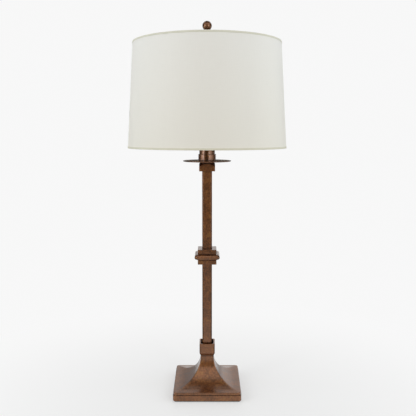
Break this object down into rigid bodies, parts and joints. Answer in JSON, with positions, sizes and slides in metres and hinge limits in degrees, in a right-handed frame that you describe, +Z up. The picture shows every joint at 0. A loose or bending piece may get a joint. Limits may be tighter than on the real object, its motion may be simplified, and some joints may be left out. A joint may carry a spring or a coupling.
{
  "type": "table lamp",
  "caption": "Column table lamp: square plinth with a hollow-curved roof, square column with a stepped knop, round disc, socket, harp, bulb, tapered drum shade and ball finial.",
  "frame": {"origin": "middle of the underside of the felt, on the surface that the lamp stands on", "axes": "+Z up along the column; the front, with the switch, faces -Y; the cord inlet faces +Y"},
  "size_m": [0.3566, 0.3566, 0.85],
  "materials": {
    "patina": "aged brown bronze",
    "iron": "as cast",
    "steel": "zinc plated",
    "brass": "plain",
    "felt": "black felt",
    "black_plastic": "moulded",
    "liner": "pressed board",
    "tin": "plain",
    "bulb_glass": "white frosted",
    "shade_cloth": "cloth on a hard back",
    "shade_tape": "folded tape"
  },
  "bodies": {
    "stand": {"base_casting": "patina", "lower_collar": "patina", "lower_column": "patina", "knop_lower_tier": "patina", "knop_band": "patina", "knop_upper_tier": "patina", "upper_column": "patina", "upper_collar": "patina", "bobeche_seat": "patina", "bobeche": "patina", "socket_cup": "patina", "socket_sleeve": "patina", "base_weight": "iron", "base_screws": "steel", "base_felt": "felt", "cord_bushing": "black_plastic", "lamp_pipe": "steel", "base_washer": "steel", "base_locknut": "steel", "saddle_nut": "brass", "harp_saddle": "brass", "harp": "brass", "harp_stud": "brass", "socket_cap": "brass", "socket_shell": "brass", "socket_liner": "liner", "socket_body": "black_plastic", "socket_screw_shell": "brass", "socket_contact": "brass"},
    "shade": {"shade_panel": "shade_cloth", "shade_top_trim": "shade_tape", "shade_bottom_trim": "shade_tape", "shade_top_frame": "brass", "shade_hub": "brass", "shade_bottom_ring": "brass"},
    "finial": {"finial": "patina"},
    "switch": {"switch_shaft": "brass", "switch_key": "black_plastic"},
    "bulb": {"bulb_cap": "tin", "bulb_tip": "tin", "bulb_globe": "bulb_glass"},
    "left_ferrule": {"harp_sleeve_left": "brass"},
    "right_ferrule": {"harp_sleeve_right": "brass"}
  },
  "joints": [
    {"name": "shade_turn", "type": "hinge", "parent": "stand", "child": "shade", "pos_m": [0, 0, 0.7934], "axis": [0, 0, 1], "continuous": true},
    {"name": "finial_turn", "type": "hinge", "parent": "stand", "child": "finial", "pos_m": [0, 0, 0.7958], "axis": [0, 0, 1], "continuous": true},
    {"name": "switch_turn", "type": "hinge", "parent": "stand", "child": "switch", "pos_m": [0, -0.0142, 0.6118], "axis": [0, -1, 0], "continuous": true},
    {"name": "bulb_turn", "type": "hinge", "parent": "stand", "child": "bulb", "pos_m": [0, 0, 0.6226], "axis": [0, 0, 1], "continuous": true},
    {"name": "left_ferrule_slide", "type": "slide", "parent": "stand", "child": "left_ferrule", "axis": [0, 0, 1], "range_m": [0, 0.012]},
    {"name": "right_ferrule_slide", "type": "slide", "parent": "stand", "child": "right_ferrule", "axis": [0, 0, 1], "range_m": [0, 0.012]}
  ]
}
